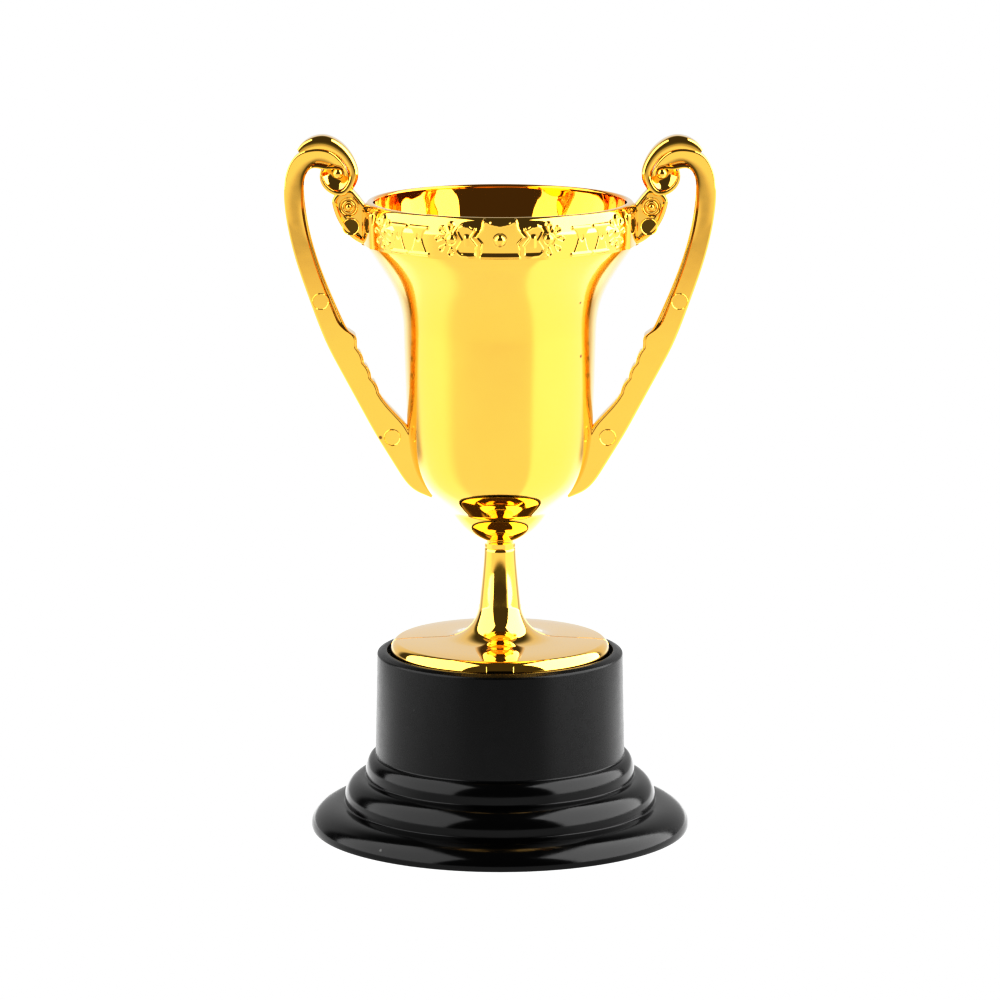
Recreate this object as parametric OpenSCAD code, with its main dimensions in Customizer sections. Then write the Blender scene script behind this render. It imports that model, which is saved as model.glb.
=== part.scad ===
// Small two-handled cup trophy: a plated bowl with scroll handles, a stem with
// a foot disc, and a hollow black stepped base held on by one screw.
// Millimetres, +Z up, origin at the centre of the flat bottom, handles along X.

/* [Bowl] */
// Height of the lip above the table
lip_z = 114.4; // [112:0.1:117]
// Radius of the mouth
mouth_r = 22.5; // [21.5:0.1:22.6]
// Outer radius of the ornamented band
band_r = 24.4; // [24.2:0.1:24.8]
// Height where the band turns in to the flare under it
band_low_z = 106.4; // [105.5:0.1:107]
// Radius of the waist under the band
waist_r = 17.3; // [16.8:0.1:17.8]
// Wall thickness of the body
wall = 1.3; // [1:0.1:1.8]

/* [Stem and foot] */
// Height where the stem meets the bowl's neck
joint_z = 51.5; // [49:0.5:52]
// Radius of the stem at that joint
stem_top_r = 2.8; // [2.6:0.1:3.2]
// Radius of the foot disc
disc_r = 19.85; // [19:0.05:20]
// Height of the foot disc's top at its edge
disc_z = 34.5; // [34:0.1:35.5]

/* [Base] */
// Radius of the flange on the table
base_r = 34.25; // [33:0.25:37]
// Radius at the top of the drum
drum_top_r = 22.2; // [22:0.1:22.6]
// Height of the drum's rim
drum_z = 32.3; // [32:0.1:32.8]
// Wall thickness of the base
base_wall = 1.9; // [1.6:0.1:2.2]

/* [Handles] */
// Thickness of a handle, front to back
handle_t = 4.4; // [3.6:0.2:5]
// Diameter of the pegs that hold a handle
peg_d = 2; // [1.6:0.1:2.4]

/* [Fastener] */
// Diameter of the screw's thread
screw_d = 3; // [2.6:0.1:3]
// Length of the screw under its head
screw_l = 17; // [14:1:18]

/* [Hidden] */
$fn = 64;

gold = "gold";
black = [0.08, 0.08, 0.09];

// Bowl
lip_t = 0.7;                          // width of the lip's flat top
roll_h = 3.4;                         // height over which the band rolls in to the lip
flare_r = band_r - 1.8;               // the flare starts to round in to the band here
flare_z = band_low_z - 1.9;
body_low_z = 76.5;                    // the body starts to round in here
body_low_r = 16.8;
shoulder_z = 58.45;                   // inflection between the bowl and its knob
shoulder_r = 9.05;
neck_z = 52.35;                       // the knob has drawn in to the neck
neck_r = stem_top_r;
floor_z = 58.2;                       // lowest point inside the bowl
spigot_r = 1.6;
spigot_z = joint_z + 4.5;
fit_gap = 0.05;                       // clearance all round a glued fit

// Band ornament: the angles are from the front, and repeat on the back half
relief = 0.42;                        // how far the motifs stand out
motif_z = 110.6;                      // height of their centre line
motif_h = 1.6;                        // depth of a motif before it is trimmed to the band
shield_a = 13.9;
flower_a = [20.9, 56.8];
spool_a = [35.3, 46.3];
petal_count = 8;
petal_r = 0.72;
petal_at = 2.2;                       // distance of a petal from the flower's centre
stud_r = 1.05;

// Foot disc and base
recess_z = 31;                        // floor of the recess for the disc
recess_r = disc_r + 0.6;
deck_t = 2;                           // thickness of the base's top deck
boss_r = 4.6;
boss_z = 22;                          // lower end of the base's screw boss
screw_hole_r = screw_d / 2 + 0.2;
pilot_z = 42;                         // top of the pilot hole in the stem
washer_t = 0.8;
washer_r = 3.9;
head_r = 2.9;
head_h = 2.2;
pad_t = 1.6;                          // the pad sits flush with the base's rim
pad_r = base_r - 3;

// Handles: u is the distance from the cup's axis
stud_u = 28.7;                        // centre of the stud in the scroll
stud_z = 119.3;
scroll_u = 28.6;
scroll_z = 118.4;
scroll_r = 3.7;
rosette_u = 26.9;
rosette_z = 113.4;
peg_z = 110;
low_peg_z = 69.5;
ejector_r = 1.5;                      // marks of the mould's ejector pins
ejector_depth = 0.1;
ejectors = [[26.5, 109.9], [32, 96.5], [19.3, 71.9]];
rosette_r = 1.7;
rosette_eye_r = 0.6;
proud = 0.25;                         // how far small ornaments stand out

steps = 10;                           // points along each curve

// Points of a cubic curve from a to d, drawn towards b and c; leaves out d
function curve(a, b, c, d, n = steps) = [for (i = [0 : n - 1]) let (t = i / n)
    pow(1 - t, 3) * a + 3 * pow(1 - t, 2) * t * b + 3 * (1 - t) * t * t * c + pow(t, 3) * d];

// Points of a quarter ellipse that starts level at a and ends upright at b
function ovolo(a, b, n = steps) = [for (i = [0 : n]) let (w = 90 * i / n)
    [a.x + (b.x - a.x) * sin(w), b.y + (a.y - b.y) * cos(w)]];

// Outer outline of the bowl from the lip down to the joint
bowl_outline = concat(
    curve([mouth_r + lip_t, lip_z], [band_r - 0.4, lip_z - 0.2], [band_r, lip_z - 1.6],
          [band_r, lip_z - roll_h], 6),
    [[band_r, lip_z - roll_h]],
    curve([band_r, band_low_z + 1.6], [band_r - 0.4, band_low_z + 0.2], [flare_r + 0.6, flare_z + 0.9],
          [flare_r, flare_z], 6),
    curve([flare_r, flare_z], [19.6, 100], [waist_r + 0.15, 97.3], [waist_r, 91]),
    curve([waist_r, 91], [waist_r - 0.15, 85], [17, 81], [body_low_r, body_low_z]),
    curve([body_low_r, body_low_z], [16.35, 64.6], [14.5, 62.8], [shoulder_r, shoulder_z], 16),
    curve([shoulder_r, shoulder_z], [6.9, 53.6], [neck_r, neck_z + 0.6], [neck_r, neck_z], 12),
    [[neck_r, neck_z], [neck_r, joint_z]]);

// Inner outline of the bowl from its floor up to the lip
bowl_hollow = concat(
    curve([0, floor_z], [8, floor_z], [15, 62], [body_low_r - wall, body_low_z], 14),
    curve([body_low_r - wall, body_low_z], [17 - wall, 81], [waist_r - wall - 0.15, 85],
          [waist_r - wall, 91], 6),
    curve([waist_r - wall, 91], [waist_r - wall + 0.15, 98], [19.4, 101.8], [mouth_r - 0.8, 105.9]),
    [[mouth_r - 0.8, 105.9], [mouth_r, 107.4], [mouth_r, lip_z + 1]]);

module bowl_solid() {
    rotate_extrude() polygon(concat([[0, lip_z]], bowl_outline, [[0, joint_z]]));
}

// Right halves of the outlines of two motifs, from the top middle to the bottom middle
cartouche_half = [[0, 2.75], [1.5, 3], [2.9, 3.6], [3.3, 1.9], [4.5, 0.35], [3.45, -0.8],
                  [3.65, -3.35], [0, -3.35]];
panel_half = [[0, 2.1], [1.4, 2.3], [2.2, 2.7], [2.5, 1.4], [3.15, 0.15], [2.4, -1.1],
              [2.4, -2.5], [0, -2.5]];
spool_half = [[0, 1.9], [2, 1.9], [1.95, 1.3], [1.35, 0.6], [1.2, -0.2], [1.45, -1.3],
              [2.15, -2.7], [2.25, -3.35], [0, -3.35]];

// The shield beside the cartouche, and the sunk panel in it
shield = [[-1.15, 1.95], [-0.3, 2.35], [0.7, 2.55], [1.55, 2.15], [1.85, 1.45], [1.6, 0.6],
          [1.05, -0.2], [1.55, -0.9], [2, -1.7], [1.9, -2.5], [1.1, -3.1], [-0.4, -3.3],
          [-1.85, -3.2], [-2, -0.95], [-0.95, 0.35], [-1.8, 1.3]];
shield_panel = [[-0.9, 1.45], [-0.2, 1.8], [0.65, 2], [1.15, 1.75], [1.35, 1.35], [1.15, 0.75],
                [0.45, -0.2], [1.1, -1.1], [1.45, -1.75], [1.4, -2.25], [0.95, -2.6],
                [-0.4, -2.8], [-1.35, -2.7], [-1.45, -1.1], [-0.35, 0.35], [-1.15, 1.25]];

// A whole symmetrical outline from its right half
function mirrored(half) = concat(half, [for (i = [len(half) - 2 : -1 : 1]) [-half[i].x, half[i].y]]);

module cartouche() {
    linear_extrude(height = motif_h) difference() {
        polygon(mirrored(cartouche_half));
        polygon(mirrored(panel_half));
    }
    cylinder(h = motif_h, r = stud_r);
}

module shield_motif() {
    linear_extrude(height = motif_h) difference() {
        polygon(shield);
        polygon(shield_panel);
    }
}

// Petals round a centre
module flower() {
    for (i = [0 : petal_count - 1])
        rotate([0, 0, 360 * i / petal_count]) translate([petal_at, 0, 0])
            cylinder(h = motif_h, r = petal_r);
    cylinder(h = motif_h, r = stud_r);
}

module spool() {
    linear_extrude(height = motif_h) polygon(mirrored(spool_half));
}

// Sets a motif in the band, facing outwards, at an angle from the right-hand handle
module on_band(a) {
    rotate([0, 0, a]) translate([band_r + relief - motif_h, 0, motif_z]) rotate([90, 0, 90])
        children();
}

// The motifs, trimmed to stand out evenly from the band and its rolled top
module band_ornament() {
    intersection() {
        rotate_extrude() polygon([
            [band_r - 1, band_low_z], [band_r + relief, band_low_z],
            [band_r + relief, lip_z - 1.2], [band_r - 0.4, lip_z - 0.2], [band_r - 1, lip_z - 0.2]]);
        for (half = [-90, 90]) {
            on_band(half) cartouche();
            for (side = [-1, 1]) {
                on_band(half + side * shield_a)
                    mirror([side < 0 ? 1 : 0, 0, 0]) shield_motif();
                for (a = flower_a) on_band(half + side * a) flower();
                for (a = spool_a) on_band(half + side * a) spool();
            }
        }
    }
}

module cup_bowl() {
    color(gold) difference() {
        union() {
            bowl_solid();
            band_ornament();
        }
        rotate_extrude() polygon(concat(bowl_hollow, [[0, lip_z + 1]]));
        translate([0, 0, joint_z - 1])
            cylinder(h = spigot_z + 0.3 - joint_z + 1, r = spigot_r + fit_gap);
        for (side = [-1, 1], z = [peg_z, low_peg_z])
            translate([side * mouth_r / 2, 0, z]) rotate([0, side * 90, 0])
                cylinder(h = mouth_r, r = peg_d / 2 + fit_gap);
    }
}

// Outline of a handle in the plane of u and z, from the tail up the outer edge,
// over the scroll and down the inner edge
handle_outline = concat(
    curve([11, 60.8], [16, 60.8], [19.4, 67.4], [22.8, 73.3]),
    curve([22.8, 73.3], [25.6, 78.4], [28.5, 84], [31.2, 89.6], 6),
    curve([31.2, 89.6], [35.6, 99.6], [38.2, 109], [38.35, 116]),
    curve([38.35, 116], [38.4, 119.2], [37.6, 121.8], [36.3, 123.3], 6),
    curve([36.3, 123.3], [34.2, 127.2], [30, 127.2], [27, 124.2]),
    curve([27, 124.2], [24.8, 122], [24.6, 119.2], [25.6, 116.8], 6),
    [[scroll_u, scroll_z], [32.2, 119]],
    curve([32.2, 119], [33, 121], [34.9, 120.2], [34.8, 117.4], 6),
    curve([34.8, 117.4], [34.4, 109], [31, 98], [27.4, 91.4]),
    // the bump and three scallops of the inner edge
    curve([27.4, 91.4], [26.2, 90.4], [25.4, 89.4], [25.3, 87.8], 5),
    curve([25.3, 87.8], [24.9, 86.6], [24.2, 86], [23.9, 84.4], 4),
    curve([23.9, 84.4], [23.2, 83.4], [22.5, 82.6], [22.1, 81], 4),
    curve([22.1, 81], [20.4, 78], [18.4, 75.4], [16.4, 73.4], 6),
    [[11, 73.4]]);

lug_outline = concat(
    [[23, 106.4]],
    curve([24.4, 106.8], [27.4, 108], [29.4, 111], [29.8, 114.2], 8),
    [[29.8, 114.9], [26.2, 116.4], [24.1, 114.1], [23, 113.2]]);

// The right-hand handle; the left one is its mirror image
module handle() {
    difference() {
        union() {
            rotate([90, 0, 0]) linear_extrude(height = handle_t, center = true) {
                polygon(handle_outline);
                polygon(lug_outline);
                translate([scroll_u, scroll_z]) circle(r = scroll_r);
            }
            // studs on the scroll and the lug, on both faces
            for (face = [-1, 1]) on_face(face) {
                translate([stud_u, stud_z, 0]) cylinder(h = 2 * proud, r = stud_r);
                translate([rosette_u, rosette_z, 0]) cylinder(h = proud, r = rosette_r);
                translate([rosette_u, rosette_z, 0]) cylinder(h = 2 * proud, r = rosette_eye_r);
            }
        }
        bowl_solid();
        // round marks left by the ejector pins on the front face
        for (p = ejectors)
            translate([p.x, -handle_t / 2 + ejector_depth, p.y]) rotate([90, 0, 0])
                cylinder(h = 1, r = ejector_r);
    }
    for (z = [peg_z, low_peg_z]) translate([peg_root(z), 0, z]) rotate([0, -90, 0])
        cylinder(h = peg_root(z) - peg_tip(z), r = peg_d / 2);
}

// Where a peg starts inside the handle, and where it ends at the bowl's inner wall
function peg_root(z) = z > 100 ? band_r + 1 : 17.5;
function peg_tip(z) = z > 100 ? mouth_r : 15.2;

// Lays ornaments on the handle's front (-1) or back (1) face
module on_face(face) {
    translate([0, face * handle_t / 2, 0]) rotate([90, 0, 0]) mirror([0, 0, face > 0 ? 1 : 0])
        children();
}

module handle_right() {
    color(gold) handle();
}

module handle_left() {
    color(gold) mirror([1, 0, 0]) handle();
}

stem_outline = concat(
    [[0, joint_z], [stem_top_r - 0.1, joint_z], [stem_top_r, joint_z - 0.1]],
    curve([stem_top_r, joint_z - 0.1], [2.95, 47.8], [3.36, 44.6], [3.72, 41], 8),
    curve([3.72, 41], [4, 38.2], [5.6, 35.4], [9.8, disc_z + 0.5], 12),
    curve([9.8, disc_z + 0.5], [13, disc_z + 0.3], [16, disc_z + 0.3], [18.6, disc_z], 4),
    ovolo([18.6, disc_z], [disc_r, disc_z - 1.1], 6),
    [[disc_r - 0.1, recess_z], [0, recess_z]]);

module stem_foot() {
    color(gold) difference() {
        union() {
            rotate_extrude() polygon(stem_outline);
            translate([0, 0, joint_z - 1]) cylinder(h = spigot_z - joint_z + 1, r = spigot_r);
        }
        // hollow underside, which leaves the screw's boss standing
        difference() {
            translate([0, 0, recess_z - 1]) cylinder(h = 3, r = disc_r - 1.6);
            translate([0, 0, recess_z - 2]) cylinder(h = 5, r = boss_r);
        }
        translate([0, 0, recess_z - 1]) cylinder(h = pilot_z - recess_z + 1, r = screw_d / 2);
    }
}

// Outer outline of the base from the drum's rim down to the table
base_outline = concat(
    [[drum_top_r - 0.4, drum_z], [drum_top_r - 0.1, drum_z - 0.1], [drum_top_r, drum_z - 0.4],
     [22.6, 13.5]],
    ovolo([22.7, 13.4], [24.4, 10.4]),
    [[24.4, 9.5]],
    ovolo([24.5, 9.4], [28.2, 5.3]),
    [[28.2, 4.6]],
    ovolo([28.3, 4.5], [base_r, 0.6]),
    [[base_r, 0.2], [base_r - 0.2, 0]]);

// Hollow of the base, whose steps follow the outside
base_hollow = [
    [0, recess_z - deck_t], [drum_top_r - base_wall, recess_z - deck_t],
    [22.6 - base_wall, 11.4], [24.3 - base_wall, 9], [24.3 - base_wall, 7.4],
    [28 - base_wall, 4.2], [pad_r, 2.6], [pad_r, -1], [0, -1]];

module base_shell() {
    color(black) difference() {
        union() {
            difference() {
                rotate_extrude() polygon(concat([[0, drum_z]], base_outline, [[0, 0]]));
                rotate_extrude() polygon(base_hollow);
            }
            translate([0, 0, boss_z]) cylinder(h = recess_z - boss_z - 1, r = boss_r);
        }
        translate([0, 0, recess_z]) cylinder(h = 4, r = recess_r);
        translate([0, 0, boss_z - 1]) cylinder(h = 20, r = screw_hole_r);
    }
}

module base_screw() {
    color("silver") difference() {
        union() {
            translate([0, 0, boss_z - washer_t - head_h]) cylinder(h = head_h, r = head_r);
            translate([0, 0, boss_z - washer_t]) cylinder(h = screw_l, r = screw_d / 2);
        }
        // cross recess in the head
        for (a = [0, 90]) rotate([0, 0, a])
            translate([0, 0, boss_z - washer_t - head_h])
                cube([3.2, 0.7, 2.4], center = true);
    }
}

module screw_washer() {
    color("silver") translate([0, 0, boss_z - washer_t]) difference() {
        cylinder(h = washer_t, r = washer_r);
        translate([0, 0, -1]) cylinder(h = washer_t + 2, r = screw_d / 2 + 0.1);
    }
}

module bottom_pad() {
    color([0.2, 0.2, 0.22]) cylinder(h = pad_t, r = pad_r - 0.1);
}

cup_bowl();
handle_left();
handle_right();
stem_foot();
base_shell();
base_screw();
screw_washer();
bottom_pad();
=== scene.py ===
"""A small gold two-handled cup trophy on a black stepped base, in a white studio.

Everything is in metres in the CAD frame: +Z up, the handles along X, the front towards -Y.
Shapes are worked out in millimetres and scaled once, in add_mesh().
"""

import math

import bmesh
import bpy
import numpy as np
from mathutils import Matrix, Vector


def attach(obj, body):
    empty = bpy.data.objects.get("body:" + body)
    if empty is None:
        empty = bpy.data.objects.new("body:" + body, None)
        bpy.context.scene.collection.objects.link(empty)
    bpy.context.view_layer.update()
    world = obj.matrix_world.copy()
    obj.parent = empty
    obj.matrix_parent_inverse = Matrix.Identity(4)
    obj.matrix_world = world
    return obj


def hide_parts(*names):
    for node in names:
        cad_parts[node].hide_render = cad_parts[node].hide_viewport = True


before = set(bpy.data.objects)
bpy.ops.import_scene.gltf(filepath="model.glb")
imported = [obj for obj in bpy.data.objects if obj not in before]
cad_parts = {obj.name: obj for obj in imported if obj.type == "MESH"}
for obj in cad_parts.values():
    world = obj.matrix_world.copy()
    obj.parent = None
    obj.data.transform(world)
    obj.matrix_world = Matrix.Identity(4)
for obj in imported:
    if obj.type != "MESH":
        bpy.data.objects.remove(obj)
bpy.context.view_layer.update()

MM = 0.001


# ---------------------------------------------------------------- sizes, in millimetres

# Bowl
LIP_Z = 114.4
MOUTH_R = 22.5
BAND_R = 24.4
WAIST_R = 17.3
WAIST_Z = 91
WALL = 1.3
BODY_LOW = (16.8, 76.5)      # radius and height where the body starts to round in
SHOULDER = (9.05, 58.45)     # inflection between the bowl's bottom and its knob
NECK_R = 2.8
NECK_Z = 52.35
FLOOR_Z = 58.2
SOCKET_R = 1.65
SOCKET_TOP = 55.8

# Stem and foot
JOINT_Z = 51.5
STEM_R = 2.8
DISC_R = 19.85
DISC_Z = 34.5
DISC_EDGE = 2.1              # height of the disc's rounded edge
RECESS_Z = 31.0
SPIGOT_R = 1.6
SPIGOT_TOP = 55.5

# Base
BASE_R = 34.25
DRUM_R = 22.2
DRUM_Z = 32.3
RIM_R = 20.4                 # inner radius of the rim round the foot disc
BOSS_R = 4.6
BOSS_LOW = 22
BASE_WALL = 1.9
PAD_T = 1.6

# Handles
HANDLE_T = 4.4
STUD = (28.75, 119.4)        # centre of the scroll's stud
ROSETTE = (26.9, 113.4)
EJECTORS = ((26.5, 109.9), (32.0, 96.5), (19.3, 71.9))


# ---------------------------------------------------------------- curves

def bezier(a, b, c, d, n=12):
    """n points of a cubic curve from a to d, without d."""
    t = np.linspace(0, 1, n, endpoint=False)[:, None]
    a, b, c, d = (np.array(p, float) for p in (a, b, c, d))
    return ((1 - t) ** 3 * a + 3 * (1 - t) ** 2 * t * b + 3 * (1 - t) * t * t * c + t ** 3 * d).tolist()


def ovolo(top, low, n=14):
    """A quarter ellipse from top, where it is level, to low, where it is upright."""
    a = np.linspace(0, math.pi / 2, n)
    return [(top[0] + (low[0] - top[0]) * math.sin(w), low[1] + (top[1] - low[1]) * math.cos(w)) for w in a]


def rounded(corners, radius, n=5):
    """The open outline through corners, each inner corner rounded by radius."""
    pts = [np.array(p, float) for p in corners]
    out = [pts[0].tolist()]
    for before, here, after in zip(pts, pts[1:], pts[2:]):
        a, b = before - here, after - here
        la, lb = np.linalg.norm(a), np.linalg.norm(b)
        reach = min(radius, la / 2, lb / 2)
        p, q = here + a / la * reach, here + b / lb * reach
        for t in np.linspace(0, 1, n):
            out.append(((1 - t) ** 2 * p + 2 * (1 - t) * t * here + t * t * q).tolist())
    out.append(pts[-1].tolist())
    return out


def spline(points, n):
    """n points of a natural cubic spline through points, evenly spaced along it."""
    p = np.array(points, float)
    t = np.concatenate([[0], np.cumsum(np.sqrt(np.linalg.norm(np.diff(p, axis=0), axis=1)))])
    h = np.diff(t)
    k = len(p)
    a = np.eye(k)
    rhs = np.zeros((k, p.shape[1]))
    for i in range(1, k - 1):
        a[i, i - 1:i + 2] = h[i - 1], 2 * (h[i - 1] + h[i]), h[i]
        rhs[i] = 6 * ((p[i + 1] - p[i]) / h[i] - (p[i] - p[i - 1]) / h[i - 1])
    m = np.linalg.solve(a, rhs)
    fine = np.linspace(0, t[-1], 40 * k)
    i = np.clip(np.searchsorted(t, fine, side="right") - 1, 0, k - 2)
    u, v, w = (t[i + 1] - fine)[:, None], (fine - t[i])[:, None], h[i][:, None]
    curve = (m[i] * u ** 3 + m[i + 1] * v ** 3) / (6 * w) \
        + (p[i] / w - m[i] * w / 6) * u + (p[i + 1] / w - m[i + 1] * w / 6) * v
    run = np.concatenate([[0], np.cumsum(np.linalg.norm(np.diff(curve, axis=0), axis=1))])
    at = np.linspace(0, run[-1], n)
    return np.stack([np.interp(at, run, curve[:, j]) for j in range(p.shape[1])], 1)


def smoothstep(x, low=0.0, high=1.0):
    t = np.clip((x - low) / (high - low), 0, 1)
    return t * t * (3 - 2 * t)


# ---------------------------------------------------------------- meshes

def grid_faces(rows, cols, wrap_rows=False):
    """Quads that join rings of cols points each. wrap_rows joins the last ring to the first."""
    faces = []
    for i in range(rows if wrap_rows else rows - 1):
        low, high = i * cols, (i + 1) % rows * cols
        for a in range(cols):
            b = (a + 1) % cols
            faces.append((low + a, low + b, high + b, high + a))
    return faces


def capped_faces(rows, cols):
    """The quads of a tube of rows rings, and one flat face over each of its ends."""
    first, last = tuple(range(cols))[::-1], tuple(range((rows - 1) * cols, rows * cols))
    return grid_faces(rows, cols) + [first, last]


def add_mesh(name, points, faces, sharp_deg=32):
    """A smooth-shaded object from points in millimetres.

    Doubled points are merged, and the faces are turned outwards.
    """
    mesh = bpy.data.meshes.new(name)
    mesh.from_pydata((np.asarray(points, float) * MM).tolist(), [], faces)
    bm = bmesh.new()
    bm.from_mesh(mesh)
    bmesh.ops.remove_doubles(bm, verts=bm.verts, dist=2e-7)
    bmesh.ops.recalc_face_normals(bm, faces=bm.faces)
    bm.to_mesh(mesh)
    bm.free()
    mesh.polygons.foreach_set("use_smooth", [True] * len(mesh.polygons))
    mesh.set_sharp_from_angle(angle=math.radians(sharp_deg))
    piece = bpy.data.objects.new(name, mesh)
    bpy.context.collection.objects.link(piece)
    return piece


def lathe_points(profile, segments):
    """Rings of points, one ring for each (radius, height) of profile."""
    profile = np.array(profile, float)
    turn = np.linspace(0, 2 * math.pi, segments, endpoint=False)
    r, z = profile[:, 0][:, None], profile[:, 1][:, None]
    return np.stack([r * np.cos(turn), r * np.sin(turn), z + 0 * turn], -1)


def add_lathe(name, profile, segments=224, closed=False, ripple=None):
    """A turned piece. A closed profile is a ring; an open one starts and ends on the axis."""
    rings = lathe_points(profile, segments)
    if ripple is not None:
        rings = ripple(rings)
    faces = grid_faces(len(profile), segments, wrap_rows=closed)
    return add_mesh(name, rings.reshape(-1, 3), faces)


class Parts:
    """Gathers the meshes of one moulding, and lays them out for either side of the cup."""

    def __init__(self):
        self.points, self.faces, self.count = [], [], 0

    def add(self, points, faces):
        points = np.asarray(points, float).reshape(-1, 3)
        self.faces += [tuple(i + self.count for i in f) for f in faces]
        self.points.append(points)
        self.count += len(points)

    def make(self, name, mirrored=False):
        points = np.concatenate(self.points)
        if mirrored:
            points = points * (-1, 1, 1)
        return add_mesh(name, points, self.faces)


# ---------------------------------------------------------------- materials

GOLD_A = (1.0, 0.615, 0.105)
GOLD_B = (1.0, 0.645, 0.125)
GOLD_INSIDE_PAINTED_SHADE = (1.0, 0.470, 0.030)    # redder, darker gold inside the cup: painted shade of light bouncing inside it
SATIN = 0.11                         # added roughness of the satin body


class Shader:
    """A node material under construction, around one Principled node."""

    def __init__(self, name):
        self.material = bpy.data.materials.new(name)
        self.material.use_nodes = True
        self.nodes, self.links = self.material.node_tree.nodes, self.material.node_tree.links
        self.bsdf = next(n for n in self.nodes if n.type == "BSDF_PRINCIPLED")
        self.where = self.nodes.new("ShaderNodeTexCoord").outputs["Object"]

    def set(self, **values):
        for key, value in values.items():
            self.bsdf.inputs[key.replace("_", " ")].default_value = value

    def noise(self, scale, detail=3.0, roughness=0.5):
        node = self.nodes.new("ShaderNodeTexNoise")
        node.inputs["Scale"].default_value = scale
        node.inputs["Detail"].default_value = detail
        node.inputs["Roughness"].default_value = roughness
        self.links.new(self.where, node.inputs["Vector"])
        return node.outputs["Fac"]

    def specks(self, scale, size, density):
        """1 in a few scattered round specks, 0 elsewhere. size is a share of the cell."""
        cells = self.nodes.new("ShaderNodeTexVoronoi")
        cells.inputs["Scale"].default_value = scale
        self.links.new(self.where, cells.inputs["Vector"])
        dot = self.ramp(cells.outputs["Distance"], (size * 0.6, 1), (size, 0))
        split = self.nodes.new("ShaderNodeSeparateColor")
        self.links.new(cells.outputs["Color"], split.inputs["Color"])
        chosen = self.ramp(split.outputs["Red"], (density, 1), (density + 0.002, 0))
        return self.math("MULTIPLY", dot, chosen)

    def ramp(self, source, low, high):
        """Maps source from low=(position, value) to high=(position, value), held outside them."""
        node = self.nodes.new("ShaderNodeMapRange")
        for key, value in zip(("From Min", "To Min", "From Max", "To Max"), (*low, *high)):
            node.inputs[key].default_value = value
        self.links.new(source, node.inputs["Value"])
        return node.outputs["Result"]

    def math(self, operation, a, b):
        node = self.nodes.new("ShaderNodeMath")
        node.operation = operation
        for socket, value in zip(node.inputs, (a, b)):
            if isinstance(value, (int, float)):
                socket.default_value = value
            else:
                self.links.new(value, socket)
        return node.outputs["Value"]

    def mix(self, factor, a, b):
        """A colour between a and b."""
        node = self.nodes.new("ShaderNodeMix")
        node.data_type = "RGBA"
        self.links.new(factor, node.inputs["Factor"])
        for key, value in (("A", a), ("B", b)):
            socket = next(s for s in node.inputs if s.name == key and s.type == "RGBA")
            if isinstance(value, tuple):
                socket.default_value = (*value, 1)
            else:
                self.links.new(value, socket)
        return next(s for s in node.outputs if s.type == "RGBA")

    def height(self):
        """The object's height, in metres."""
        node = self.nodes.new("ShaderNodeSeparateXYZ")
        self.links.new(self.where, node.inputs["Vector"])
        return node.outputs["Z"]

    def inward(self):
        """1 on faces that look towards the vertical axis, 0 on those that look away from it."""
        flat = self.nodes.new("ShaderNodeVectorMath")
        flat.operation = "MULTIPLY"
        flat.inputs[1].default_value = (1, 1, 0)
        self.links.new(self.where, flat.inputs[0])
        dot = self.nodes.new("ShaderNodeVectorMath")
        dot.operation = "DOT_PRODUCT"
        self.links.new(flat.outputs["Vector"], dot.inputs[0])
        self.links.new(self.nodes.new("ShaderNodeNewGeometry").outputs["True Normal"], dot.inputs[1])
        return self.math("LESS_THAN", dot.outputs["Value"], 0.0)

    def bump(self, source, distance):
        node = self.nodes.new("ShaderNodeBump")
        node.inputs["Distance"].default_value = distance
        self.links.new(source, node.inputs["Height"])
        self.links.new(node.outputs["Normal"], self.bsdf.inputs["Normal"])

    def link(self, source, socket):
        self.links.new(source, self.bsdf.inputs[socket])


def gold_plating(satin=False):
    """Metallised plastic: gold-coloured metal under a clear coat, with a few pinholes.

    A satin one is a softer mirror over the body, between the bowl's bottom and its band, with a redder gold
    painted inside the cup as shade.
    """
    s = Shader("gold_satin_painted_shade" if satin else "gold_plating")
    tint = s.mix(s.noise(90, 2), GOLD_A, GOLD_B)
    if satin:
        # painted shade: faces that look towards the axis, inside the cup, get a redder, darker gold
        tint = s.mix(s.inward(), tint, GOLD_INSIDE_PAINTED_SHADE)
    pinholes = s.specks(420, 0.16, 0.012)
    s.link(s.mix(pinholes, tint, (0.30, 0.14, 0.02)), "Base Color")
    gloss = s.ramp(s.noise(260, 3), (0.3, 0.03), (0.7, 0.06))
    if satin:
        z = s.height()
        body = s.math("MULTIPLY", s.ramp(z, (0.060, 0.0), (0.076, 1.0)),
                      s.ramp(z, (0.1045, 1.0), (0.1065, 0.0)))
        gloss = s.math("ADD", gloss, s.math("MULTIPLY", body, SATIN))
    s.link(gloss, "Roughness")
    s.set(Metallic=1.0, Coat_Weight=1.0, Coat_Roughness=0.03, Coat_IOR=1.5)
    s.bump(s.noise(330, 1), 0.000006)
    return s.material


def black_plastic():
    """Moulded black plastic: satin on the drum, glossier on the rings below it, with specks of dust."""
    s = Shader("black_plastic")
    tone = s.mix(s.noise(140, 3), (0.0006, 0.0006, 0.0007), (0.0016, 0.0016, 0.0018))
    dust = s.specks(330, 0.11, 0.02)
    s.link(s.mix(dust, tone, (0.12, 0.12, 0.115)), "Base Color")
    drum = s.ramp(s.height(), (0.0128, 0.0), (0.0142, 1.0))
    satin = s.ramp(s.noise(500, 4, 0.7), (0.3, 0.24), (0.7, 0.31))
    shiny = s.ramp(s.noise(350, 4, 0.7), (0.3, 0.12), (0.7, 0.19))
    blend = s.math("ADD", s.math("MULTIPLY", satin, drum),
                   s.math("MULTIPLY", shiny, s.math("SUBTRACT", 1.0, drum)))
    s.link(blend, "Roughness")
    s.set(IOR=1.48)
    s.bump(s.noise(900, 3), 0.000003)
    return s.material


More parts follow.
